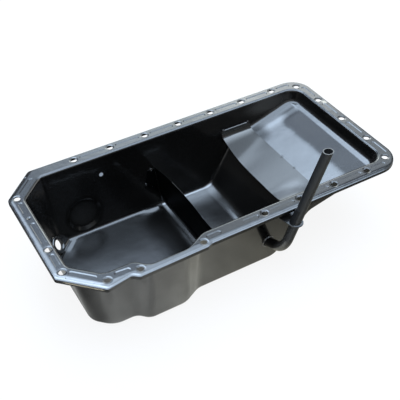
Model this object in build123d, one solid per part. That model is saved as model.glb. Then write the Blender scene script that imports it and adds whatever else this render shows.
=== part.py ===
from build123d import *
import math
import os

os.makedirs("parts", exist_ok=True)

# The pan lies with its sealing face on Z 0 and its sump below.
# X runs from the front row of bolts to the rear, Y 0 is the middle line.

# Sheet
sheet = 1.5
wall_bend = 4.0
lip_bend = 3.0
lip_depth = 8.2
lip_depth_rear = 6.7
floor_round = 6.0

# Reach of helper solids past the pan, and overlaps that keep cuts clean
beyond = 60.0
helper_round = 1.0
lap = 0.2
skim = 0.1

# Bolts in the rail
bolt_hole_radius = 4.5
bolt_pitch = 56.0
side_bolt_count = 7
near_bolt_count = 4
side_bolt_line = 116.0
first_side_bolt = 97.5
last_side_bolt = first_side_bolt + (side_bolt_count - 1) * bolt_pitch
rear_bolt_gap = 48.3
rear_bolt_line = last_side_bolt + rear_bolt_gap
rear_bolt_pitch = 57.5
rear_corner_inset_x = 7.1
rear_corner_inset_y = 10.0
rear_corner_bolt_x = rear_bolt_line - rear_corner_inset_x
rear_corner_bolt_y = side_bolt_line - rear_corner_inset_y
front_corner_bolt_y = 77.8
front_bolt_y = -33.3
bulge_bolts = [(41.5, -118.0), (83.5, -121.5), (171.5, -121.0)]

# Rail outline, measured outward from the bolt lines
rail_margin = 10.6
front_margin = 11.8
lip_half = side_bolt_line + rail_margin
lip_rear = rear_bolt_line + rail_margin
lip_front = -front_margin
slant_run = 44.4
rear_near_radius = 36.0
rear_far_radius = 32.0
bulge_lip = 3.6
bulge_lip_ease = 0.8
bulge_lip_end = 174.0
bulge_lip_run = 7.0
ear_waist_x = 70.0
ear_waist_inset = 2.0
ear_x = 78.0
ear_lip = 1.2
lip_radii = [6.0, 6.0, 5.0, 5.0, 5.0, 5.0, 5.0, rear_near_radius, rear_far_radius, 9.0]

# Walls at the sealing face, measured inward from the bolt lines
side_inset = 11.2
rear_inset = 9.1
front_inset = 8.5
wall_half = side_bolt_line - side_inset
wall_rear = rear_bolt_line - rear_inset
wall_front = front_inset
wall_slant_run = 33.3
wall_radii_top = [14.0, 15.0, 20.0, 14.0, 14.0, 20.0, 20.0, 20.0, 20.0, 16.0]

# Walls at the sump floor
sump_depth = 118.0
side_lean = 13.8
front_lean = 21.5
rear_lean = 29.2
floor_half = wall_half - side_lean
floor_front = wall_front + front_lean
floor_rear = wall_rear - rear_lean
floor_slant_run = 22.3
wall_radii_floor = [14.0, 25.0, 32.0, 18.0, 18.0, 30.0, 30.0, 20.0, 20.0, 16.0]

# Bulge of the near wall between two bolts
bulge_out = 15.2
bulge_out_floor = 13.8
bulge_front_top = 97.0
bulge_front_floor = 98.0
bulge_rear_top = 149.0
bulge_rear_floor = 151.0
bulge_front_slope = 1.0
bulge_rear_slope = 1.9

# Step up from the sump to the shallow rear floor
step_foot = 304.5
step_top = 354.5
step_top_depth = 50.0
rear_floor_depth = 17.0
foot_round = 22.0
step_round = 14.0
rear_floor_end = wall_rear - rear_lean * rear_floor_depth / sump_depth
rear_floor_slope = (step_top_depth - rear_floor_depth) / (rear_floor_end - step_top)

# Slots pressed in the rail between the bolts
slot_width = 7.2
slot_press = 1.1
slot_slope = 45.0
slot_to_bolt = 9.0
side_slot_length = bolt_pitch - 2 * slot_to_bolt
slot_floor_half = 0.9
rear_slot_trim = 4.0
rear_slot_length = rear_bolt_pitch - 2 * slot_to_bolt - rear_slot_trim
front_slot_length = 26.0
middle_slot_length = 46.0
slant_slot_length = 37.0
slant_slot_inset = 8.7
outer_slot_width = 3.6
outer_slot_inset = 2.4
short_slot_length = 24.0
ear_slot_length = 21.0
ear_slot_x = 62.8
ear_slot_inset = 1.4
ear_slot_turn = -5.0
bulge_slot_shift = 2.0

# Dimple and the shallow dishes round the bolt holes
dimple_radius = 3.2
dimple_foot = 0.6
dimple_depth = 0.8
hole_dish_radius = 6.6
hole_dish_rim = 0.4
hole_dish_depth = 0.35
hole_dish_skin = 0.3

# Drain in a slanted face at the front far corner
drain_lean = 32.0
drain_inset = 9.0
drain_shift = -3.0
nut_radius = 12.75
nut_height = 5.5
nut_bore_radius = 8.2
nut_edge = 0.8
drain_seat_clearance = 0.8
drain_seat_radius = nut_radius + drain_seat_clearance
drain_seat_depth = 14.0
drain_hole_clearance = 1.0
drain_hole_radius = nut_bore_radius + drain_hole_clearance
drain_floor_gap = 0.9
drain_rise = (nut_radius + drain_floor_gap) * math.cos(math.radians(drain_lean))

# Round dish pressed out of the far wall
dish_x = 94.5
dish_down = 86.0
dish_radius = 27.0
dish_press = 4.0

# Baffle across the sump
plate = 1.5
plate_gap = 0.15
baffle_top_x = 212.5
baffle_top_down = 40.0
baffle_lean = 0.093
baffle_under_gap = 8.0
baffle_crown_down = 37.0
baffle_crown_y = 20.0
baffle_far_down = 50.0
baffle_bend = 3.0
baffle_near_flat = 48.0
tab_top_down = 51.0
tab_reach = 11.5
tab_lean = 7.5
tab_lean_down = 80.0

# Tray under the crank, over the step
tray_front_x = 332.5
tray_overlap = 29.0
tray_bend = 9.5
tray_tab_rise = 20.0
tray_tab_down = step_top_depth - tray_tab_rise
tray_tab_corner = 3.5
tray_flat_half = 28.0
tray_front_turn = 24.0

# Tube for the oil level stick
tube_radius = 6.9
tube_bore_radius = 5.4
tube_foot_x = 287.0
tube_foot_down = 78.0
tube_lip_gap = 0.4
tube_knee_y = -(lip_half + tube_radius + tube_lip_gap)
tube_knee_down = 61.2
tube_lean = 57.8
tube_outward = 0.5
tube_top = 80.5
tube_bend = 26.0
tube_inside = 5.0
tube_clearance = 0.3

# Bracket that steadies the tube
bracket_down = 20.0
bracket_rim = 3.0
bracket_front_reach = 1.0
bracket_rear_reach = 36.0
bracket_front_x = tube_foot_x - bracket_front_reach
bracket_rear_x = tube_foot_x + bracket_rear_reach
lug_height = 19.0
lug_width = 9.0
lug_sheet = 1.2


def moved_sides(corners, out):
    """Corners of a closed outline after each side is moved outward by the same distance."""
    count = len(corners)
    lines = []
    for i in range(count):
        ax, ay = corners[i]
        bx, by = corners[(i + 1) % count]
        length = math.hypot(bx - ax, by - ay)
        nx = (by - ay) / length
        ny = (ax - bx) / length
        lines.append((nx, ny, nx * ax + ny * ay + out))
    result = []
    for i in range(count):
        n1x, n1y, c1 = lines[i - 1]
        n2x, n2y, c2 = lines[i]
        det = n1x * n2y - n1y * n2x
        result.append(((c1 * n2y - c2 * n1y) / det, (n1x * c2 - n2x * c1) / det))
    return result


def is_outward(corners, i):
    """True for a corner that points out of an anticlockwise outline."""
    ax, ay = corners[i - 1]
    px, py = corners[i]
    bx, by = corners[(i + 1) % len(corners)]
    return (px - ax) * (by - py) - (py - ay) * (bx - px) > 0


def rounded_outline(corners, radii, z, out=0.0):
    """Closed wire with straight sides and an arc at each corner, on the level z."""
    points = moved_sides(corners, out)
    starts = []
    ends = []
    middles = []
    for i in range(len(points)):
        radius = radii[i] + out if is_outward(corners, i) else radii[i] - out
        corner = Vector(points[i][0], points[i][1], z)
        before = Vector(points[i - 1][0], points[i - 1][1], z)
        after = Vector(points[(i + 1) % len(points)][0], points[(i + 1) % len(points)][1], z)
        to_before = (before - corner).normalized()
        to_after = (after - corner).normalized()
        half = math.acos(max(-1.0, min(1.0, to_before.dot(to_after)))) / 2
        reach = radius / math.tan(half)
        inward = (to_before + to_after).normalized()
        middle = corner + inward * (radius / math.sin(half) - radius)
        starts.append(corner + to_before * reach)
        ends.append(corner + to_after * reach)
        middles.append(middle)
    edges = []
    for i in range(len(points)):
        if radii[i] > 0:
            edges.append(ThreePointArc(starts[i], middles[i], ends[i]))
        edges.append(Line(ends[i], starts[(i + 1) % len(points)]))
    return Wire(edges)


def wall_corners(down):
    """Corners of the inner walls at a depth below the sealing face, anticlockwise."""
    share = down / sump_depth
    half = wall_half + (floor_half - wall_half) * share
    front = wall_front + (floor_front - wall_front) * share
    rear = wall_rear + (floor_rear - wall_rear) * share
    run = wall_slant_run + (floor_slant_run - wall_slant_run) * share
    out = bulge_out + (bulge_out_floor - bulge_out) * share
    b = bulge_front_top + (bulge_front_floor - bulge_front_top) * share
    c = bulge_rear_top + (bulge_rear_floor - bulge_rear_top) * share
    a = b - bulge_front_slope * out
    d = c + bulge_rear_slope * out
    return [
        (front, half - run),
        (front, run - half),
        (front + run, -half),
        (a, -half),
        (b, -half - out),
        (c, -half - out),
        (d, -half),
        (rear, -half),
        (rear, half),
        (front + run, half),
    ]


def wall_radii(down):
    """Radii of the upright corners of the inner walls at a depth."""
    share = down / sump_depth
    return [top + (low - top) * share for top, low in zip(wall_radii_top, wall_radii_floor)]


def rear_floor_down(x):
    """Depth of the shallow rear floor at a station along the pan."""
    return step_top_depth - rear_floor_slope * (x - step_top)


def across(side_view):
    """Solid right across the pan from a face drawn in the side view."""
    upright = Plane(origin=(0, lip_rear, 0), x_dir=(1, 0, 0), z_dir=(0, -1, 0))
    return extrude(upright * side_view, 2 * lip_rear)


def floor_profile(out):
    """Side view of the space above the floor, moved down by the same distance all along."""
    rear = wall_rear + beyond
    corners = [
        (-beyond, -sump_depth),
        (step_foot, -sump_depth),
        (step_top, -step_top_depth),
        (rear, -rear_floor_down(rear)),
        (rear, beyond),
        (-beyond, beyond),
    ]
    radii = [helper_round + out, foot_round, step_round, helper_round, helper_round, helper_round]
    return across(make_face(rounded_outline(corners, radii, 0.0, out)))


def drain_plane(out=0.0):
    """Plane of the slanted face that carries the drain nut, pointing out of the pan."""
    lean = math.radians(drain_lean)
    diagonal = math.sqrt(0.5)
    inward = drain_inset - drain_rise * math.tan(lean)
    x = floor_front + floor_slant_run / 2 + (inward + drain_shift) * diagonal
    y = floor_half - floor_slant_run / 2 + (drain_shift - inward) * diagonal
    normal = Vector(-math.cos(lean) * diagonal, math.cos(lean) * diagonal, -math.sin(lean))
    centre = Vector(x, y, drain_rise - sump_depth) + normal * out
    return Plane(origin=centre, x_dir=(diagonal, diagonal, 0), z_dir=normal)


def side_wall(down):
    """Half width between the inner faces of the side walls at a depth."""
    return wall_half - side_lean * down / sump_depth


def side_wall_plane(x, down, side, out=0.0):
    """Plane along a side wall, moved out of the pan from the inner face, pointing out of the pan."""
    lean = math.atan(side_lean / sump_depth)
    normal = Vector(0, side * math.cos(lean), -math.sin(lean))
    origin = Vector(x, side * side_wall(down), -down) + normal * out
    return Plane(origin=origin, x_dir=(1, 0, 0), z_dir=normal)


def dish(out):
    """Round dish that stands out of the far wall."""
    radius = dish_radius + out * math.tan(math.pi / 8)
    start = dish_press / 2
    seat = side_wall_plane(dish_x, dish_down, 1, out - start)
    base = (Align.CENTER, Align.CENTER, Align.MIN)
    return seat * Cone(radius + start, radius - dish_press, dish_press + start, align=base)


def pan_form(out):
    """Solid that fills the pan, grown outward by the same distance on every side."""
    low = sump_depth + beyond / 2
    top_wire = rounded_outline(wall_corners(0.0), wall_radii(0.0), 0.0, out)
    low_wire = rounded_outline(wall_corners(low), wall_radii(low), -low, out)
    form = Solid.make_loft([top_wire, low_wire], ruled=True)
    form = form & floor_profile(out)
    corner = Box(sump_depth, sump_depth, sump_depth, align=(Align.CENTER, Align.CENTER, Align.MIN))
    form = form - drain_plane(out) * corner
    form = form.fillet(floor_round + out, floor_edges(form))
    return form + dish(out)


def floor_edges(form):
    """Edges along which the floor meets the walls."""
    shared = {}
    for face in form.faces():
        normal = face.normal_at(None)
        if abs(normal.Y) < 0.05 and normal.Z < -0.45:
            for edge in face.edges():
                middle = edge @ 0.5
                place = (round(middle.X, 2), round(middle.Y, 2), round(middle.Z, 2))
                shared.setdefault(place, []).append(edge)
    return [edges[0] for edges in shared.values() if len(edges) == 1]


lip_corners = [
    (lip_front, lip_half - slant_run),
    (lip_front, slant_run - lip_half),
    (lip_front + slant_run + bulge_lip, -lip_half - bulge_lip),
    (ear_waist_x, -lip_half + ear_waist_inset),
    (ear_x, -lip_half - bulge_lip - ear_lip),
    (bulge_lip_end, -lip_half - bulge_lip + bulge_lip_ease),
    (bulge_lip_end + bulge_lip_run, -lip_half),
    (lip_rear, -lip_half),
    (lip_rear, lip_half),
    (lip_front + slant_run, lip_half),
]


def bolt_places():
    """Centres of all bolt holes in the rail."""
    places = [(first_side_bolt + i * bolt_pitch, side_bolt_line) for i in range(side_bolt_count)]
    places += [(last_side_bolt - i * bolt_pitch, -side_bolt_line) for i in range(near_bolt_count)]
    places += [(rear_bolt_line, i * rear_bolt_pitch) for i in (-1, 0, 1)]
    places += [(rear_corner_bolt_x, side * rear_corner_bolt_y) for side in (-1, 1)]
    places += [(0.0, side * front_corner_bolt_y) for side in (-1, 1)]
    places += [(0.0, front_bolt_y)]
    return places + bulge_bolts


def slot_places():
    """Centre, length, direction and width of each slot pressed between the bolts."""
    first_near_bolt = last_side_bolt - (near_bolt_count - 1) * bolt_pitch
    near_gaps = [last_side_bolt - (i + 0.5) * bolt_pitch for i in range(near_bolt_count - 1)]
    far_gaps = [first_side_bolt + (i + 0.5) * bolt_pitch for i in range(side_bolt_count - 1)]
    rear_side_x = last_side_bolt + slot_to_bolt + short_slot_length / 2
    near_side_x = first_near_bolt - slot_to_bolt - short_slot_length / 2
    bulge_end_x = bulge_bolts[2][0] + slot_to_bolt + ear_slot_length / 2 - bulge_slot_shift
    corner_y = rear_bolt_pitch + slot_to_bolt + rear_slot_length / 2
    front_y = (front_corner_bolt_y - front_bolt_y) / 2
    slant_x = slant_run / 2 + slant_slot_inset - front_margin
    slant_y = lip_half - slant_run / 2 - slant_slot_inset
    outer_x = slant_run / 2 + outer_slot_inset - front_margin
    outer_y = lip_half - slant_run / 2 - outer_slot_inset
    places = [(x, side_bolt_line, side_slot_length, 0, slot_width) for x in far_gaps]
    places += [(x, -side_bolt_line, side_slot_length, 0, slot_width) for x in near_gaps]
    places += [(near_side_x, -side_bolt_line, short_slot_length, 0, slot_width)]
    places += [(bulge_end_x, -side_bolt_line, ear_slot_length, 0, slot_width)]
    places += [(ear_slot_x, ear_slot_inset - side_bolt_line, ear_slot_length, ear_slot_turn, slot_width)]
    places += [(0.0, 0.0, middle_slot_length, 90, slot_width)]
    for side in (-1, 1):
        places += [(rear_side_x, side * side_bolt_line, short_slot_length, 0, slot_width)]
        places += [(rear_bolt_line, side * rear_bolt_pitch / 2, rear_slot_length, 90, slot_width)]
        places += [(rear_bolt_line, side * corner_y, rear_slot_length - rear_slot_trim, 90, slot_width)]
        places += [(0.0, side * front_y, front_slot_length, 90, slot_width)]
        places += [(slant_x, side * slant_y, slant_slot_length, side * 45, slot_width)]
        places += [(outer_x, side * outer_y, slant_slot_length, side * 45, outer_slot_width)]
    return places


def slot_solid(place, margin, top, deeper):
    """Solid with sloping sides that presses one slot, widened all round by a margin."""
    x, y, length, turn, width = place
    press = min(slot_press, width / 2 - slot_floor_half) + deeper
    flat = Pos(x, y, top) * SlotOverall(length + 2 * margin, width + 2 * margin, rotation=turn)
    return extrude(flat, -press, taper=slot_slope)


def hole_dishes(top, margin):
    """Shallow dishes that are pressed round the bolt holes."""
    low = bolt_hole_radius + hole_dish_rim + margin
    high = hole_dish_radius + margin
    dish_cone = Cone(low, high, hole_dish_depth, align=(Align.CENTER, Align.CENTER, Align.MAX))
    return [Pos(x, y, top) * dish_cone for x, y in bolt_places()]


def lip_trim():
    """Wedge under the turned edge of the rail, which gets shallower toward the rear."""
    slope = (lip_depth - lip_depth_rear) / (lip_rear - lip_front)
    outline = Polyline(
        (lip_front - beyond, -lip_depth - slope * beyond),
        (lip_rear + beyond, -lip_depth_rear + slope * beyond),
        (lip_rear + beyond, -3 * lip_depth),
        (lip_front - beyond, -3 * lip_depth),
        close=True,
    )
    return across(make_face(outline))


def rail():
    """Flat rail with its edge turned down all round."""
    blank = extrude(make_face(rounded_outline(lip_corners, lip_radii, 0.0)), -2 * lip_depth)
    top_edges = blank.edges().group_by(Axis.Z)[-1]
    blank = fillet(top_edges, lip_bend)
    hollow = extrude(make_face(rounded_outline(lip_corners, lip_radii, -sheet, -sheet)), -2 * lip_depth)
    hollow_edges = hollow.edges().group_by(Axis.Z)[-1]
    hollow = fillet(hollow_edges, lip_bend - sheet)
    return blank - hollow - lip_trim()


def bend_edges(body, level, upward):
    """Inner edge loop of the flat face on a level."""
    flats = []
    for face in body.faces():
        centre = face.center()
        if abs(centre.Z - level) < 0.01 and face.geom_type == GeomType.PLANE:
            if face.normal_at(None).Z * upward > 0.99:
                flats.append(face)
    widest = max(flats, key=lambda face: face.area)
    return widest.inner_wires()[0].edges()


def pan_body():
    """The whole pan, drawn and pressed from one sheet."""
    body = rail() + pan_form(sheet)
    body = fillet(bend_edges(body, -sheet, -1), wall_bend - sheet)
    body = body - pan_form(0.0)
    body = fillet(bend_edges(body, 0.0, 1), wall_bend)
    skin = sheet * math.tan(math.radians(slot_slope) / 2)
    raised = [slot_solid(place, skin + lap, lap - sheet, lap) for place in slot_places()]
    pressed = [slot_solid(place, 0.0, 0.0, 0.0) for place in slot_places()]
    body = body + (raised + hole_dishes(-sheet, hole_dish_skin))
    body = body - (pressed + hole_dishes(0.0, 0.0))
    bolt_hole = Cylinder(bolt_hole_radius, sheet * 3)
    body = body - [Pos(x, y, -sheet / 2) * bolt_hole for x, y in bolt_places()]
    downward = (Align.CENTER, Align.CENTER, Align.MAX)
    dimple = Pos(0.0, -front_bolt_y, 0.0) * Cone(dimple_foot, dimple_radius, dimple_depth, align=downward)
    drain_seat = drain_plane() * Cylinder(drain_seat_radius, drain_seat_depth, align=downward)
    drain_hole = drain_plane() * Cylinder(drain_hole_radius, 6 * sheet)
    tube_hole = tube_solid(tube_radius + tube_clearance)
    return body - [dimple, drain_seat, drain_hole, tube_hole]


def drain_nut():
    """Threaded ring welded over the drain hole, inside the pan."""
    seat = drain_plane()
    ring = Cylinder(nut_radius, nut_height, align=(Align.CENTER, Align.CENTER, Align.MAX))
    ring = chamfer(ring.edges().group_by(Axis.Z)[0], nut_edge)
    ring -= Cylinder(nut_bore_radius, nut_height * 3)
    circles = ring.edges().filter_by(GeomType.CIRCLE)
    ring = chamfer([edge for edge in circles if edge.radius < nut_bore_radius + skim], nut_edge)
    return seat * ring


def baffle_x(down):
    """Front face of the baffle at a depth."""
    return baffle_top_x + baffle_lean * (down - baffle_top_down)


def baffle_section(down):
    """Level section through the baffle and its two side tabs."""
    front = baffle_x(down)
    half = side_wall(down) - plate_gap
    tab_end = front - beyond
    corners = [
        (tab_end, half - plate),
        (front, half - plate),
        (front, plate - half),
        (tab_end, plate - half),
        (tab_end, -half),
        (front + plate, -half),
        (front + plate, half),
        (tab_end, half),
    ]
    inner = baffle_bend - plate
    return rounded_outline(corners, [0.0, inner, inner, 0.0, 0.0, baffle_bend, baffle_bend, 0.0], -down)


def sump_baffle():
    """Plate across the sump with a tab bent forward along each side wall."""
    low = sump_depth - baffle_under_gap
    blank = Solid.make_loft([baffle_section(beyond / 2), baffle_section(low)], ruled=True)
    reach = wall_half + baffle_bend
    far_top = (side_wall(baffle_far_down), -baffle_far_down)
    crown = Wire([
        Line((reach, -low), (reach, -baffle_far_down)),
        Line((reach, -baffle_far_down), far_top),
        ThreePointArc(far_top, (baffle_crown_y, -baffle_crown_down), (-baffle_near_flat, -baffle_top_down)),
        Line((-baffle_near_flat, -baffle_top_down), (-reach, -baffle_top_down)),
        Line((-reach, -baffle_top_down), (-reach, -low)),
        Line((-reach, -low), (reach, -low)),
    ])
    upright = Plane(origin=(baffle_top_x - 2 * beyond, 0, 0), x_dir=(0, 1, 0), z_dir=(1, 0, 0))
    blank = blank & extrude(upright * make_face(crown), 3 * beyond)
    top_x = baffle_x(tab_top_down)
    front = baffle_top_x - 2 * beyond
    above = -baffle_crown_down / 2
    below = -low - plate
    trim = Polyline(
        (front, above),
        (top_x - skim, above),
        (top_x - skim, -tab_top_down),
        (top_x - tab_reach, -tab_top_down),
        (top_x - tab_reach - tab_lean, -tab_lean_down),
        (baffle_x(low) - skim, -low),
        (baffle_x(low) - skim, below),
        (front, below),
        close=True,
    )
    return blank - across(make_face(trim))


def tray_section(x, turn):
    """Upright section through the tray, with its floor rising by an angle before the side bend."""
    lean = math.atan(side_lean / sump_depth)
    level = -rear_floor_down(x)
    wall = (wall_half - plate_gap) * math.cos(lean) - tray_bend
    angle = math.radians(turn)
    if turn > 0:
        room = wall - math.cos(lean) * tray_flat_half + math.sin(lean) * (level + tray_bend)
        extra = room / (math.cos(lean) * math.sin(angle) - math.sin(lean) * (1 - math.cos(angle)))
        centre_y = tray_flat_half + extra * math.sin(angle)
        centre_z = level + tray_bend + extra * (1 - math.cos(angle))
    else:
        extra = 0.0
        centre_z = level + tray_bend
        centre_y = (wall + math.sin(lean) * centre_z) / math.cos(lean)
    last = math.pi / 2 - lean

    def bend_point(turned, inward):
        reach = tray_bend - inward
        return (centre_y + reach * math.sin(turned), centre_z - reach * math.cos(turned))

    def rise_point(turned, inward):
        reach = tray_bend + extra - inward
        rise_z = level + tray_bend + extra
        return (tray_flat_half + reach * math.sin(turned), rise_z - reach * math.cos(turned))

    def half_run(inward):
        tab_y = (wall + tray_bend - inward - math.sin(lean) * tray_tab_down) / math.cos(lean)
        points = [(tray_flat_half, level + inward)]
        points.append(rise_point(angle / 2, inward) if turn > 0 else None)
        points.append(bend_point(angle, inward))
        points.append(bend_point((angle + last) / 2, inward))
        points.append(bend_point(last, inward))
        points.append((tab_y, -tray_tab_down))
        return points

    def arc_or_line(start, middle, end):
        return Line(start, end) if middle is None else ThreePointArc(start, middle, end)

    def mirrored(point):
        return None if point is None else (-point[0], point[1])

    lower = half_run(0.0)
    upper = half_run(plate)
    left_lower = [mirrored(point) for point in lower]
    left_upper = [mirrored(point) for point in upper]
    wire = Wire([
        Line(left_lower[0], lower[0]),
        arc_or_line(lower[0], lower[1], lower[2]),
        ThreePointArc(lower[2], lower[3], lower[4]),
        Line(lower[4], lower[5]),
        Line(lower[5], upper[5]),
        Line(upper[5], upper[4]),
        ThreePointArc(upper[4], upper[3], upper[2]),
        arc_or_line(upper[2], upper[1], upper[0]),
        Line(upper[0], left_upper[0]),
        arc_or_line(left_upper[0], left_upper[1], left_upper[2]),
        ThreePointArc(left_upper[2], left_upper[3], left_upper[4]),
        Line(left_upper[4], left_upper[5]),
        Line(left_upper[5], left_lower[5]),
        Line(left_lower[5], left_lower[4]),
        ThreePointArc(left_lower[4], left_lower[3], left_lower[2]),
        arc_or_line(left_lower[2], left_lower[1], left_lower[0]),
    ])
    return Plane(origin=(x, 0, 0), x_dir=(0, 1, 0), z_dir=(1, 0, 0)) * wire


def windage_tray():
    """Tray that lies on the shallow floor and reaches forward over the step."""
    rear_x = step_top + tray_overlap
    front = tray_section(tray_front_x, tray_front_turn)
    rear = tray_section(rear_x, 0.0)
    tray = Solid.make_loft([front, rear], ruled=True)
    ends = [edge for edge in tray.edges() if abs((edge @ 0.5).Z + tray_tab_down) < 0.01]
    corners = [edge for edge in ends if edge.length < 2 * plate]
    return chamfer(corners, tray_tab_corner)


def tube_path():
    """Middle line of the tube, from its foot in the near wall to its open top."""
    foot = Vector(tube_foot_x, -side_wall(tube_foot_down), -tube_foot_down)
    knee = Vector(tube_foot_x, tube_knee_y, -tube_knee_down)
    top = Vector(tube_foot_x + tube_lean, tube_knee_y - tube_outward, tube_top)
    start = foot + (foot - knee).normalized() * tube_inside
    end = top + (top - knee).normalized() * tube_radius
    return FilletPolyline(start, knee, end, radius=tube_bend)


def tube_solid(radius):
    """Round bar along the middle line of the tube."""
    path = tube_path()
    start = Plane(origin=path @ 0, z_dir=path % 0)
    bar = sweep(start * Circle(radius), path=path)
    downward = (Align.CENTER, Align.CENTER, Align.MAX)
    return bar & Pos(0, 0, tube_top) * Box(2 * lip_rear, 2 * lip_rear, lip_rear, align=downward)


def tube_axis_at(down):
    """Plane square to the straight top stretch of the tube, at a depth below the sealing face."""
    knee = Vector(tube_foot_x, tube_knee_y, -tube_knee_down)
    top = Vector(tube_foot_x + tube_lean, tube_knee_y - tube_outward, tube_top)
    share = (tube_knee_down - down) / (tube_knee_down + tube_top)
    return Plane(origin=knee + (top - knee) * share, x_dir=(-1, 0, 0.4), z_dir=top - knee)


def dipstick_tube():
    """Bent tube for the oil level stick."""
    return tube_solid(tube_radius) - tube_solid(tube_bore_radius)


def tube_bracket():
    """Plate from the near wall to the tube, with a lug turned up along the tube."""
    axis = tube_axis_at(bracket_down)
    rim = Pos(axis.origin.X, axis.origin.Y, 0) * Circle(tube_radius + bracket_rim)
    wall_y = -side_wall(bracket_down)
    root = Line((bracket_front_x, wall_y), (bracket_rear_x, wall_y))
    outline = make_hull([*rim.edges(), root])
    flat = Pos(0, 0, -bracket_down) * extrude(outline, -plate)
    reach = tube_radius + tube_clearance
    ring = Cylinder(reach + lug_sheet, 2 * lug_height) - Cylinder(reach, 2 * lug_height)
    lug = axis * (ring & Pos(reach, 0, 0) * Box(2 * reach, lug_width, 2 * lug_height))
    upright = (Align.CENTER, Align.CENTER, Align.MIN)
    above = Box(6 * lug_height, 6 * lug_height, 6 * lug_height, align=upright)
    lug = lug & Pos(axis.origin.X, axis.origin.Y, -bracket_down - plate / 2) * above
    bracket = flat + lug - tube_solid(reach)
    outside = side_wall_plane(tube_foot_x, bracket_down, -1, sheet)
    within = Box(lip_rear, lip_rear, lip_rear, align=(Align.CENTER, Align.CENTER, Align.MAX))
    return bracket - outside * within


pieces = {
    "pan_body": pan_body,
    "drain_nut": drain_nut,
    "sump_baffle": sump_baffle,
    "windage_tray": windage_tray,
    "dipstick_tube": dipstick_tube,
    "tube_bracket": tube_bracket,
}

for name, make in pieces.items():
    export_step(make(), os.path.join("parts", name + ".step"))
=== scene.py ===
import bpy
import math
from mathutils import Vector, Matrix


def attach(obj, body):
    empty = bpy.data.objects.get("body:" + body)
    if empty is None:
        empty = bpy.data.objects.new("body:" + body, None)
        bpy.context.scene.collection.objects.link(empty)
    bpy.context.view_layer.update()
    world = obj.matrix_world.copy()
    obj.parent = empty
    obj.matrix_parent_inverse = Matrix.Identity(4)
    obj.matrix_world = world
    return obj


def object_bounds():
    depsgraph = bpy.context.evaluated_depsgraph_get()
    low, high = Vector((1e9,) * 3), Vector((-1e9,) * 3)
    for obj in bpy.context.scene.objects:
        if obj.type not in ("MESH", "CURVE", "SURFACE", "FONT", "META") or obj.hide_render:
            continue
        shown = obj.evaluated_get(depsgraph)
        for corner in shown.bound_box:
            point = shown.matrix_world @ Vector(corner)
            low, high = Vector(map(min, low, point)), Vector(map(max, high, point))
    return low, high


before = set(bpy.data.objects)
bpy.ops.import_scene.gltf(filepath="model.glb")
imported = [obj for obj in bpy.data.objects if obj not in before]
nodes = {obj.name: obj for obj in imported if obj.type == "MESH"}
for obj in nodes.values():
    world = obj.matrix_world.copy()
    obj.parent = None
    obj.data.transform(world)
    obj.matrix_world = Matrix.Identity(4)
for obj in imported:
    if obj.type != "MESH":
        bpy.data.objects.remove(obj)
cad_low, cad_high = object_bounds()
scene = bpy.context.scene

# Places are in metres in the object's own coordinates: z = 0 is the rail's sealing face, +x runs from the
# front row of bolts to the rear, and -y is the near side. The front corners are cut at 45 degrees.
near_front = (-0.7071, -0.7071, 0.0)
far_front = (-0.7071, 0.7071, 0.0)
far_rear = (0.7071, 0.7071, 0.0)
corner_offset = 0.0665
middle_x = 0.24
baffle_foot_x = 0.214
sump_floor_z = -0.118

white = (1.0, 1.0, 1.0, 1.0)


def feed(tree, socket, value):
    """Link a socket to another, or set it to a plain value."""
    if isinstance(value, bpy.types.NodeSocket):
        tree.links.new(value, socket)
    else:
        socket.default_value = value


def calc(tree, operation, first, second):
    """Sum, difference or product of two sockets or numbers."""
    node = tree.nodes.new("ShaderNodeMath")
    node.operation = operation
    feed(tree, node.inputs[0], first)
    feed(tree, node.inputs[1], second)
    return node.outputs["Value"]


def vector_calc(tree, operation, first, second=None, scale=None):
    """Vector operation on sockets or plain vectors."""
    node = tree.nodes.new("ShaderNodeVectorMath")
    node.operation = operation
    feed(tree, node.inputs[0], first)
    if second is not None:
        feed(tree, node.inputs[1], second)
    if scale is not None:
        feed(tree, node.inputs["Scale"], scale)
    return node.outputs["Value" if operation in ("DOT_PRODUCT", "LENGTH") else "Vector"]


def split(tree, vector):
    """Coordinates of a vector."""
    node = tree.nodes.new("ShaderNodeSeparateXYZ")
    tree.links.new(vector, node.inputs["Vector"])
    return node.outputs["X"], node.outputs["Y"], node.outputs["Z"]


def mapped(tree, point, scale, location=(0.0, 0.0, 0.0)):
    """Point scaled along each axis, then moved."""
    node = tree.nodes.new("ShaderNodeMapping")
    node.inputs["Location"].default_value = location
    node.inputs["Scale"].default_value = scale
    tree.links.new(point, node.inputs["Vector"])
    return node.outputs["Vector"]


def times(tree, *factors):
    """Product of sockets and numbers."""
    result = factors[0]
    for factor in factors[1:]:
        result = calc(tree, "MULTIPLY", result, factor)
    return result


def ranged(tree, value, low, high, new_low, new_high):
    """Value mapped from one range to another and clamped."""
    node = tree.nodes.new("ShaderNodeMapRange")
    tree.links.new(value, node.inputs["Value"])
    node.inputs["From Min"].default_value = low
    node.inputs["From Max"].default_value = high
    node.inputs["To Min"].default_value = new_low
    node.inputs["To Max"].default_value = new_high
    return node.outputs["Result"]


def smooth(tree, value, start, end):
    """Soft step from 0 at start to 1 at end, upward or downward."""
    node = tree.nodes.new("ShaderNodeMapRange")
    node.interpolation_type = "SMOOTHSTEP"
    tree.links.new(value, node.inputs["Value"])
    node.inputs["From Min"].default_value = min(start, end)
    node.inputs["From Max"].default_value = max(start, end)
    node.inputs["To Min"].default_value = 0.0 if end > start else 1.0
    node.inputs["To Max"].default_value = 1.0 if end > start else 0.0
    return node.outputs["Result"]


def window(tree, value, a, b, c, d):
    """Soft window: rises from a to b and falls from c to d."""
    return times(tree, smooth(tree, value, a, b), smooth(tree, value, d, c))


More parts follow.
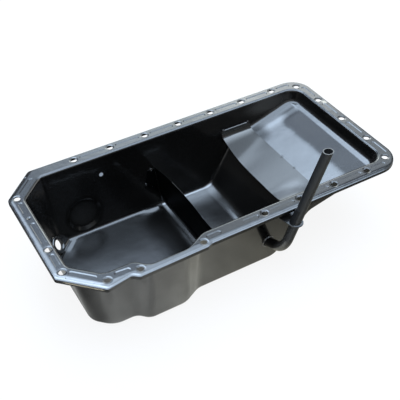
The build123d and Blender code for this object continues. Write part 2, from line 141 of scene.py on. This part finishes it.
def noise(tree, place, scale, detail):
    """Noise in the object's own coordinates."""
    node = tree.nodes.new("ShaderNodeTexNoise")
    node.inputs["Scale"].default_value = scale
    node.inputs["Detail"].default_value = detail
    tree.links.new(place, node.inputs["Vector"])
    return node.outputs["Fac"]


def mix_colour(tree, factor, low, high):
    """Colour between two, each a socket or a plain colour, led by a factor socket."""
    node = tree.nodes.new("ShaderNodeMix")
    node.data_type = "RGBA"
    tree.links.new(factor, node.inputs["Factor"])
    for socket, colour in ((node.inputs[6], low), (node.inputs[7], high)):
        feed(tree, socket, (*colour, 1.0) if isinstance(colour, tuple) else colour)
    return node.outputs[2]


def mix_shader(tree, factor, first, second):
    """First shader where the factor is 0, second where it is 1."""
    node = tree.nodes.new("ShaderNodeMixShader")
    for socket, source in zip(node.inputs, (factor, first, second)):
        tree.links.new(source, socket)
    return node.outputs["Shader"]


def bumped(tree, height, normal, distance, strength):
    """Normal with the slopes of a height added to it."""
    node = tree.nodes.new("ShaderNodeBump")
    node.inputs["Distance"].default_value = distance
    node.inputs["Strength"].default_value = strength
    tree.links.new(height, node.inputs["Height"])
    tree.links.new(normal, node.inputs["Normal"])
    return node.outputs["Normal"]


def leaned(tree, normal, *leans):
    """Normal leaned by a vector where its mask is 1, one pair of mask and vector after another."""
    for mask, lean in leans:
        moved = vector_calc(tree, "ADD", normal, vector_calc(tree, "SCALE", lean, scale=mask))
        normal = vector_calc(tree, "NORMALIZE", moved)
    return normal


def spotted(tree, shader, mask, colour):
    """Another colour where the mask is 1."""
    tone = shader.inputs["Base Color"].links[0].from_socket
    tree.links.new(mix_colour(tree, mask, tone, colour), shader.inputs["Base Color"])


def glossed(tree, shader, level, coat, changes):
    """Gloss of base and coat, raised or lowered by an amount where each mask is 1."""
    total = 1.0
    for mask, amount in changes:
        total = calc(tree, "ADD", times(tree, mask, amount), total)
    tree.links.new(times(tree, total, level), shader.inputs["Specular IOR Level"])
    tree.links.new(ranged(tree, times(tree, total, coat), 0.0, 1.0, 0.0, 1.0), shader.inputs["Coat Weight"])


def new_material(name):
    """Material with an empty node tree and its output."""
    material = bpy.data.materials.new(name)
    material.use_nodes = True
    tree = material.node_tree
    tree.nodes.clear()
    output = tree.nodes.new("ShaderNodeOutputMaterial")
    return material, tree, output


class Place:
    """Coordinates and directions that the soft forms of a paint are placed by."""

    def __init__(self, tree):
        self.tree = tree
        self.point = tree.nodes.new("ShaderNodeTexCoord").outputs["Object"]
        self.x, self.y, self.z = split(tree, self.point)
        self.normal = tree.nodes.new("ShaderNodeNewGeometry").outputs["Normal"]
        self.nx, self.ny, self.nz = split(tree, self.normal)

    def along(self, direction, offset=0.0):
        """Distance along a direction, from a plane at an offset."""
        reach = vector_calc(self.tree, "DOT_PRODUCT", self.point, direction)
        return calc(self.tree, "SUBTRACT", reach, offset)

    def distance(self, centre, stretch=(1.0, 1.0, 1.0)):
        """Distance from a point, with each axis stretched."""
        location = tuple(-c * k for c, k in zip(centre, stretch))
        return vector_calc(self.tree, "LENGTH", mapped(self.tree, self.point, stretch, location))


# Noise of the paint as scale and detail: clouds of tone and gloss, slow waves and fine ripples of the surface
tone_noise = (9.0, 3.0)
wave_noise = (34.0, 2.0)
ripple_noise = (260.0, 4.0)
ripple_strength = 0.35
# Gloss of the paint and of its clear coat
paint_ior = 1.55
coat_ior = 1.5
coat_roughness = 0.06
sump_coat_roughness = 0.27
# Tones of single spots: bare metal of a chip, then painted reflections, painted light and painted shade
bare_paint = (0.46, 0.40, 0.31)
# Painted reflection: gold tone of a thin line on the rail's turned lip
gold_reflection_tone = (0.42, 0.33, 0.21)
# Painted light: lighter tone inside the dish of the far wall
dish_painted_light_tone = (0.011, 0.011, 0.0105)
# Painted reflection: lighter tone of a sheen on the far wall's rear
painted_sheen_tone = (0.055, 0.053, 0.050)
# Painted light: lighter tone of the tray's upturned tab
tab_painted_light_tone = (0.036, 0.036, 0.034)
# Painted shade: darker tone of the tube's foot beside the wall
tube_foot_shade_tone = (0.002, 0.002, 0.002)


def black_paint(name, dark, light, rough, gloss=0.8, base=0.5, ripple=0.00012, sway=0.00035, forms=None):
    """Gloss black paint with soft changes of tone, gloss and flatness."""
    material, tree, output = new_material(name)
    shader = tree.nodes.new("ShaderNodeBsdfPrincipled")
    place = Place(tree)
    broad = noise(tree, place.point, *tone_noise)
    tone = mix_colour(tree, ranged(tree, broad, 0.35, 0.65, 0.0, 1.0), dark, light)
    tree.links.new(tone, shader.inputs["Base Color"])
    tree.links.new(ranged(tree, broad, 0.3, 0.7, *rough), shader.inputs["Roughness"])
    shader.inputs["IOR"].default_value = paint_ior
    shader.inputs["Specular IOR Level"].default_value = base
    shader.inputs["Coat Weight"].default_value = gloss
    shader.inputs["Coat Roughness"].default_value = coat_roughness
    shader.inputs["Coat IOR"].default_value = coat_ior
    normal = forms(tree, place, shader) if forms else place.normal
    normal = bumped(tree, noise(tree, place.point, *wave_noise), normal, sway, 1.0)
    normal = bumped(tree, noise(tree, place.point, *ripple_noise), normal, ripple, ripple_strength)
    tree.links.new(normal, shader.inputs["Normal"])
    tree.links.new(normal, shader.inputs["Coat Normal"])
    tree.links.new(shader.outputs["BSDF"], output.inputs["Surface"])
    return material


# Outer edges of the rail that face forward and near: outward direction, offset, lean, added gloss
rail_edges = [
    ((-1.0, 0.0, 0.0), 0.0118, (-0.03, -0.075, 0.0), 0.1),
    ((0.0, -1.0, 0.0), 0.1270, (0.0, -0.13, 0.0), 0.1),
    (near_front, corner_offset, (-0.10, -0.10, 0.0), 0.7),
    (far_front, corner_offset, (-0.085, 0.085, 0.0), 0.3),
]
lip_gloss = 0.7


def rail_forms(tree, p, shader, normal):
    """Edges of the rail that fall away softly, slopes of its slots, a chip and a thin gold line of painted
    reflection on the lip.
    """
    top = times(tree, smooth(tree, p.z, -0.0040, -0.0034), smooth(tree, p.nz, 0.55, 0.8))
    rim = []
    for outward, offset, lean, shine in rail_edges:
        edge = times(tree, top, smooth(tree, p.along(outward, offset), -0.0085, -0.0040))
        normal = leaned(tree, normal, (edge, lean))
        rim.append((edge, shine))

    # Rounded lip outside the rail, and the slopes of its pressed slots
    from_middle = mapped(tree, p.point, (1.0, 1.0, 0.0), (-middle_x, 0.0, 0.0))
    facing_out = smooth(tree, vector_calc(tree, "DOT_PRODUCT", from_middle, p.normal), 0.02, 0.06)
    lip = times(tree, facing_out, smooth(tree, p.z, -0.0034, -0.0020))
    slope = times(tree, window(tree, p.nz, 0.60, 0.66, 0.76, 0.84),
                  window(tree, p.z, -0.0014, -0.0011, -0.0001, 0.0))
    normal = leaned(tree, normal, (lip, (0.0, 0.0, 3.0)), (slope, (0.0, 0.0, 1.1)))
    rim.append((lip, lip_gloss))

    # Chip in the paint by the rear row, with a ragged edge
    spot = p.distance((0.4852, 0.0480, 0.0), (1.0, 0.8, 1.0))
    ragged = smooth(tree, noise(tree, p.point, 420.0, 3.0), 0.40, 0.52)
    spotted(tree, shader, times(tree, smooth(tree, spot, 0.0052, 0.0022), ragged, top), bare_paint)

    # Painted reflection: thin gold line on the turned edge of the cut near corner
    face = smooth(tree, p.along(near_front, corner_offset), -0.0014, -0.0008)
    gold_reflection = times(tree, face, window(tree, p.z, -0.0062, -0.0055, -0.0045, -0.0038),
                 window(tree, p.x, -0.006, 0.0, 0.030, 0.034))
    spotted(tree, shader, gold_reflection, gold_reflection_tone)
    return normal, rim


def pan_forms(tree, p, shader):
    """Soft dishing of the pressed floors and walls of the pan, with patches of other gloss, and painted light
    and a painted reflection on the far wall.
    """
    level = smooth(tree, p.nz, 0.9, 0.98)
    upright = smooth(tree, p.ny, -0.5, -0.6)
    sump = times(tree, level, smooth(tree, p.z, -0.112, -0.116))
    front = times(tree, sump, smooth(tree, p.x, baffle_foot_x, 0.208))
    middle = times(tree, sump, smooth(tree, p.x, baffle_foot_x, 0.220))
    shallow = times(tree, level, smooth(tree, p.z, -0.060, -0.052), smooth(tree, p.z, -0.008, -0.012))

    # Front of the sump floor: corner by the drain, hollow, bright strip, spot by the baffle's foot, dull part
    corner = times(tree, front, smooth(tree, p.along(far_front), -0.006, 0.006),
                   window(tree, p.along(far_rear), 0.066, 0.088, 0.104, 0.128))
    hollow = times(tree, front, smooth(tree, p.distance((0.084, 0.044, sump_floor_z)), 0.034, 0.012))
    strip = times(tree, front, window(tree, p.along(far_front), 0.0065, 0.0095, 0.0125, 0.0155),
                  window(tree, p.along(far_rear), 0.080, 0.095, 0.108, 0.122))
    foot_spot = p.distance((0.200, 0.091, sump_floor_z), (0.6, 1.0, 1.0))
    foot = times(tree, front, smooth(tree, foot_spot, 0.018, 0.002))
    beside = times(tree, front, smooth(tree, p.x, 0.156, 0.186), smooth(tree, p.y, 0.078, 0.068))

    # Sump floor behind the baffle: bright far rounding, dark cloud
    far = times(tree, smooth(tree, p.nz, 0.70, 0.90), window(tree, p.x, baffle_foot_x, 0.220, 0.318, 0.330),
                smooth(tree, p.z, -0.105, -0.110), smooth(tree, p.y, 0.046, 0.080))
    cloud_spot = p.distance((0.282, 0.020, sump_floor_z), (1.0, 0.7, 1.0))
    cloud = times(tree, middle, smooth(tree, cloud_spot, 0.028, 0.004))

    # Shallow rear floor: dark band along its rear, far edge, stain by the tray, dusk at the band's far end
    band = times(tree, shallow, window(tree, p.x, 0.419, 0.434, 0.457, 0.460),
                 smooth(tree, p.y, 0.086, 0.070), ranged(tree, p.y, -0.08, 0.06, 1.0, 0.75))
    edge = times(tree, shallow, smooth(tree, p.y, 0.066, 0.094), smooth(tree, p.x, 0.461, 0.456))
    stain_spot = p.distance((0.386, 0.079, -0.042), (1.0, 0.8, 1.0))
    stain = times(tree, shallow, smooth(tree, stain_spot, 0.024, 0.006))
    dusk = times(tree, shallow, window(tree, p.x, 0.424, 0.444, 0.453, 0.462),
                 window(tree, p.y, 0.066, 0.076, 0.085, 0.092))

    # Walls: glint and round dish of the far wall with painted light inside the dish, a painted reflection at
    # the far wall's rear, ridge of the near wall
    glint = smooth(tree, p.distance((0.130, 0.101, -0.030)), 0.0045, 0.0015)
    ring = p.distance((0.0945, 0.097, -0.086))
    dish = times(tree, window(tree, ring, 0.017, 0.021, 0.029, 0.033), upright)
    dish_painted_light = times(tree, upright, smooth(tree, ring, 0.024, 0.006))
    # Painted reflection on the far wall near its rear corner
    painted_sheen_spot = p.distance((0.418, 0.104, -0.012), (0.36, 1.0, 1.0))
    painted_sheen = times(tree, upright, smooth(tree, painted_sheen_spot, 0.018, 0.005))
    ridge = times(tree, smooth(tree, p.ny, -0.3, -0.5), window(tree, p.x, 0.143, 0.153, 0.163, 0.175),
                  smooth(tree, p.y, -0.07, -0.09), smooth(tree, p.z, -0.008, -0.015))

    # Painted light inside the dish and a painted reflection at the far wall's rear, put into the paint's colour
    spotted(tree, shader, dish_painted_light, dish_painted_light_tone)
    spotted(tree, shader, painted_sheen, painted_sheen_tone)
    tree.links.new(ranged(tree, sump, 0.0, 1.0, coat_roughness, sump_coat_roughness),
                   shader.inputs["Coat Roughness"])
    normal = leaned(tree, p.normal,
                    (corner, (0.03, -0.15, 0.0)),
                    (hollow, (-0.03, 0.0, 0.0)),
                    (strip, (0.0, -0.28, 0.0)),
                    (foot, (-0.35, -0.60, 0.0)),
                    (far, (0.0, -0.20, 0.0)),
                    (glint, (0.0, 0.0, 2.0)),
                    (band, (0.0, 0.125, 0.0)),
                    (edge, (0.0, -0.30, 0.0)),
                    (dish, (0.0, -0.12, 0.0)))
    normal, rim = rail_forms(tree, p, shader, normal)
    patches = [(stain, -0.8), (dusk, -0.68), (cloud, -0.6), (beside, -0.68), (far, 2.0), (dish, -0.6),
               (ridge, -0.25)]
    glossed(tree, shader, 0.5, 0.8, patches + rim)
    return normal


def baffle_forms(tree, p, shader):
    """Dull front face of the baffle, with its foot rounded forward and glossy."""
    face = smooth(tree, p.nx, -0.8, -0.95)
    foot = times(tree, smooth(tree, p.z, -0.089, -0.108), face)
    dull = calc(tree, "SUBTRACT", face, foot)
    tree.links.new(ranged(tree, dull, 0.0, 1.0, 0.8, 0.0), shader.inputs["Coat Weight"])
    return leaned(tree, p.normal, (foot, (0.64, 0.0, 0.95)))


def tube_forms(tree, p, shader):
    """Foot of the tube, duller and with painted shade beside the wall."""
    foot = times(tree, smooth(tree, p.z, -0.050, -0.062), smooth(tree, p.y, -0.128, -0.116))
    # Painted shade on the tube's foot by the wall
    spotted(tree, shader, foot, tube_foot_shade_tone)
    glossed(tree, shader, 0.9, 1.0, [(foot, -0.75)])
    return p.normal


def bracket_forms(tree, p, shader):
    """Top of the bracket, slightly bowed."""
    top = smooth(tree, p.nz, 0.90, 0.98)
    return leaned(tree, p.normal, (top, (0.0, -0.30, 0.0)))


def tray_forms(tree, p, shader):
    """Tray: flat in its middle, leaning and brighter at its bent far end, brighter at its near end, with
    painted light on its upturned tab.
    """
    level = smooth(tree, p.nz, 0.8, 0.9)
    lit_tab = times(tree, smooth(tree, p.nz, 0.35, 0.25), smooth(tree, p.y, 0.085, 0.095))
    rise = times(tree, level, smooth(tree, p.y, 0.048, 0.076))
    bend = times(tree, smooth(tree, p.nz, 0.4, 0.6), smooth(tree, p.y, 0.082, 0.098))
    dull = smooth(tree, p.y, -0.02, 0.072)
    far_end = smooth(tree, p.y, 0.080, 0.100)
    near_end = times(tree, smooth(tree, p.y, -0.030, -0.052), smooth(tree, p.x, 0.384, 0.350))
    # Painted light on the upturned tab, as a lighter colour
    spotted(tree, shader, lit_tab, tab_painted_light_tone)
    glossed(tree, shader, 0.46, 0.26, [(dull, -0.42), (far_end, 2.1), (near_end, 2.5)])
    shader.inputs["Specular Tint"].default_value = (1.0, 0.96, 0.90, 1.0)
    return leaned(tree, p.normal, (rise, (0.0, -0.15, 0.0)), (bend, (0.0, -0.15, 0.0)))


pan_paint = black_paint("pan_paint_look", (0.0036, 0.0034, 0.0032), (0.0058, 0.0054, 0.0050), (0.16, 0.26),
                        ripple=0.00004, forms=pan_forms)
baffle_paint = black_paint("baffle_paint_look", (0.001, 0.001, 0.001), (0.0016, 0.0017, 0.0018), (0.42, 0.5),
                           gloss=0.7, base=0.02, forms=baffle_forms)
tray_paint = black_paint("tray_paint_look", (0.004, 0.0042, 0.0042), (0.006, 0.0062, 0.0062), (0.12, 0.2),
                         gloss=0.35, base=0.62, ripple=0.00006, sway=0.00012, forms=tray_forms)
fitting_paint = black_paint("fitting_paint_look", (0.006, 0.0062, 0.0065), (0.009, 0.0093, 0.0098),
                            (0.2, 0.3), gloss=1.0, base=0.9)
tube_paint = black_paint("tube_paint_look", (0.011, 0.0113, 0.0117), (0.017, 0.0175, 0.018), (0.22, 0.32),
                         gloss=1.0, base=0.9, forms=tube_forms)
bracket_paint = black_paint("bracket_paint_look", (0.007, 0.0073, 0.0078), (0.011, 0.0114, 0.012),
                            (0.25, 0.35), gloss=0.5, base=0.4, forms=bracket_forms)
weld_paint = black_paint("weld_paint_look", (0.008, 0.008, 0.008), (0.016, 0.0155, 0.015), (0.12, 0.2),
                         gloss=1.0, base=1.0, ripple=0.0006, sway=0.0022)

looks = {
    "pan_body": pan_paint,
    "drain_nut": fitting_paint,
    "sump_baffle": baffle_paint,
    "windage_tray": tray_paint,
    "dipstick_tube": tube_paint,
    "tube_bracket": bracket_paint,
}
for name, look in looks.items():
    node = nodes[name]
    for index in range(len(node.data.materials)):
        node.data.materials[index] = look


def bead(name, slot, centre, axis, major, minor, lumps, segments):
    """Ring of weld or thread round an axis, with lumps that add or take a share of its thickness."""
    bpy.ops.mesh.primitive_torus_add(major_segments=segments, minor_segments=8,
                                     major_radius=major, minor_radius=minor)
    ring = bpy.context.active_object
    ring.name = name
    for vertex in ring.data.vertices:
        turn = math.atan2(vertex.co.y, vertex.co.x)
        wave = math.sin(turn * 9.0 + 0.7) * 0.6 + math.sin(turn * 17.0 + 2.1) * 0.4
        flat = Vector((vertex.co.x, vertex.co.y, 0.0)).normalized() * major
        vertex.co = flat + (vertex.co - flat) * (1.0 + lumps * wave)
    turned = Vector((0.0, 0.0, 1.0)).rotation_difference(Vector(axis)).to_matrix().to_4x4()
    ring.data.transform(Matrix.Translation(Vector(centre)) @ turned)
    for polygon in ring.data.polygons:
        polygon.use_smooth = True
    ring.data.materials.append(weld_paint)
    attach(ring, "root")


# Directions square to the walls and the shallow floor, and the rings' radii, lumps and segments
far_wall = (0.0, -0.9932, 0.1162)
near_wall = (0.0, -0.9932, -0.1162)
rear_floor = (-0.278, 0.0, 0.9606)
spot_size = (0.0016, 0.0006, 0.25, 20)
tube_weld_size = (0.0080, 0.0016, 0.40, 72)
thread_size = (0.0083, 0.0004, 0.0, 40)
thread_pitch = 0.0015

spot_welds = [
    ("tray_weld_1", "tray_paint", (0.3355, 0.1001, -0.0300), far_wall),
    ("tray_weld_2", "tray_paint", (0.3805, 0.1001, -0.0300), far_wall),
    ("tray_weld_3", "tray_paint", (0.3832, 0.0113, -0.0404), rear_floor),
    ("tray_weld_4", "tray_paint", (0.3832, -0.0197, -0.0404), rear_floor),
    ("baffle_weld_1", "baffle_paint", (0.2074, 0.0972, -0.0512), far_wall),
    ("baffle_weld_2", "baffle_paint", (0.1961, 0.0946, -0.0730), far_wall),
]
for name, slot, centre, axis in spot_welds:
    bead(name, slot, centre, axis, *spot_size)
bead("tube_weld", "tube_paint", (0.287, -0.0974, -0.0773), near_wall, *tube_weld_size)

drain_axis = (-0.599661, 0.599661, -0.529919)
drain_middle = (0.041927, 0.074830, -0.104967)
for number, turns in enumerate((-1, 0, 1)):
    centre = [middle + turns * thread_pitch * way for middle, way in zip(drain_middle, drain_axis)]
    bead("drain_thread_%d" % (number + 1), "nut_paint", centre, drain_axis, *thread_size)


# Floor: its size, its gap below the sump, and its grey in plain light
floor_size = 14.0
floor_gap = 0.0002
floor_grey = (0.8, 0.8, 0.8, 1.0)
# Where the paint mirrors it: brightness close to the pan and farther away, and half widths of the close part
floor_near = 0.95
floor_far = 0.35
close_x = 0.24
close_y = 0.20
cool_white = (0.97, 1.0, 0.98)
warm_white = (1.0, 0.985, 0.84)
# Share of plain white in what the camera sees of the floor: the rest keeps the pan's shadow
floor_plain = 0.88


def floor():
    """White floor under the pan, with only a faint shadow to the camera."""
    bpy.ops.mesh.primitive_plane_add(size=floor_size)
    ground = bpy.context.active_object
    ground.name = "floor"
    ground.location = (0.13, 0.0, cad_low.z - floor_gap)
    material, tree, output = new_material("floor_look")
    place = tree.nodes.new("ShaderNodeTexCoord").outputs["Object"]
    x, y = split(tree, place)[:2]

    # Brightness where the paint mirrors the floor: less far away, and painted shade of the pan on the floor in
    # front, at the rear and by the front corner
    reach = vector_calc(tree, "LENGTH", mapped(tree, place, (1 / close_x, 1 / close_y, 1.0)))
    near = ranged(tree, reach, 0.9, 1.4, floor_near, floor_far)
    # Painted shade of the pan on the floor: darker in front of it, toward its rear and by its near front corner
    front = ranged(tree, x, -0.18, -0.10, 0.5, 1.0)
    rear_shade = ranged(tree, x, 0.02, 0.17, 1.0, 0.47)
    beside = times(tree, smooth(tree, x, -0.075, -0.10), smooth(tree, y, -0.11, -0.08))
    shade = ranged(tree, beside, 0.0, 1.0, 1.0, 0.35)
    clouds = ranged(tree, noise(tree, place, 17.0, 3.0), 0.36, 0.64, 0.76, 1.08)
    mirrored = tree.nodes.new("ShaderNodeEmission")
    warmth = ranged(tree, x, -0.05, 0.16, 0.0, 1.0)
    tree.links.new(mix_colour(tree, warmth, cool_white, warm_white), mirrored.inputs["Color"])
    tree.links.new(times(tree, near, front, rear_shade, shade, clouds), mirrored.inputs["Strength"])

    matt = tree.nodes.new("ShaderNodeBsdfDiffuse")
    matt.inputs["Color"].default_value = floor_grey
    glow = tree.nodes.new("ShaderNodeEmission")
    glow.inputs["Color"].default_value = white
    glow.inputs["Strength"].default_value = 1.0
    path = tree.nodes.new("ShaderNodeLightPath").outputs
    seen = mix_shader(tree, path["Is Glossy Ray"], matt.outputs["BSDF"], mirrored.outputs["Emission"])
    seen = mix_shader(tree, times(tree, path["Is Camera Ray"], floor_plain), seen, glow.outputs["Emission"])
    tree.links.new(seen, output.inputs["Surface"])
    ground.data.materials.append(material)


floor()


def toward(azimuth, elevation):
    """Direction out of the object: azimuth 0 is +y and 90 is +x, elevation above the horizon, in degrees."""
    a, e = math.radians(azimuth), math.radians(elevation)
    return (math.sin(a) * math.cos(e), math.cos(a) * math.cos(e), math.sin(e))


# Lights of the studio: direction, half width and softness in degrees, colour
sky_lights = [
    (toward(0, 90), 30, 12, (3.0, 3.7, 4.6)),
    (toward(7, 57), 7, 6, (3.1, 3.85, 4.8)),
    (toward(16, 42), 5, 8, (0.8, 1.0, 1.3)),
    (toward(24, 28), 6, 8, (2.2, 2.5, 2.6)),
    (toward(36, 27), 4, 7, (2.5, 2.6, 2.6)),
    (toward(42, 41), 4, 8, (1.3, 1.5, 1.7)),
    (toward(95, 20), 14, 20, (1.6, 1.6, 1.55)),
    (toward(200, 30), 20, 30, (0.35, 0.35, 0.34)),
]
sky_base = (0.08, 0.085, 0.09)


def studio_world():
    """World of soft lights, white where the camera sees it."""
    world = bpy.data.worlds.new("studio")
    scene.world = world
    world.use_nodes = True
    tree = world.node_tree
    tree.nodes.clear()
    place = tree.nodes.new("ShaderNodeTexCoord").outputs["Generated"]
    total = sky_base
    for direction, width, softness, colour in sky_lights:
        closeness = vector_calc(tree, "DOT_PRODUCT", place, direction)
        outer = math.cos(math.radians(width + softness))
        inner = math.cos(math.radians(width))
        light = vector_calc(tree, "SCALE", colour, scale=smooth(tree, closeness, outer, inner))
        total = vector_calc(tree, "ADD", total, light)
    lit = tree.nodes.new("ShaderNodeBackground")
    tree.links.new(total, lit.inputs["Color"])
    plain = tree.nodes.new("ShaderNodeBackground")
    plain.inputs["Color"].default_value = white
    camera_ray = tree.nodes.new("ShaderNodeLightPath").outputs["Is Camera Ray"]
    seen = mix_shader(tree, camera_ray, lit.outputs["Background"], plain.outputs["Background"])
    output = tree.nodes.new("ShaderNodeOutputWorld")
    tree.links.new(seen, output.inputs["Surface"])


studio_world()

# Camera, as fitted to the bolt holes in the photo
eye = Vector((-0.1619, -0.7071, 0.6597))
target = Vector((0.2069, -0.0507, 0.0))
roll = math.radians(-1.28)
cam_data = bpy.data.cameras.new("camera")
cam_data.sensor_width = 36.0
cam_data.lens = 68.26
camera = bpy.data.objects.new("camera", cam_data)
scene.collection.objects.link(camera)
scene.camera = camera
aim = (target - eye).normalized().to_track_quat("-Z", "Y").to_matrix()
camera.rotation_mode = "QUATERNION"
camera.location = eye
camera.rotation_quaternion = (aim @ Matrix.Rotation(roll, 3, "Z")).to_quaternion()
scene.view_settings.view_transform = "Standard"
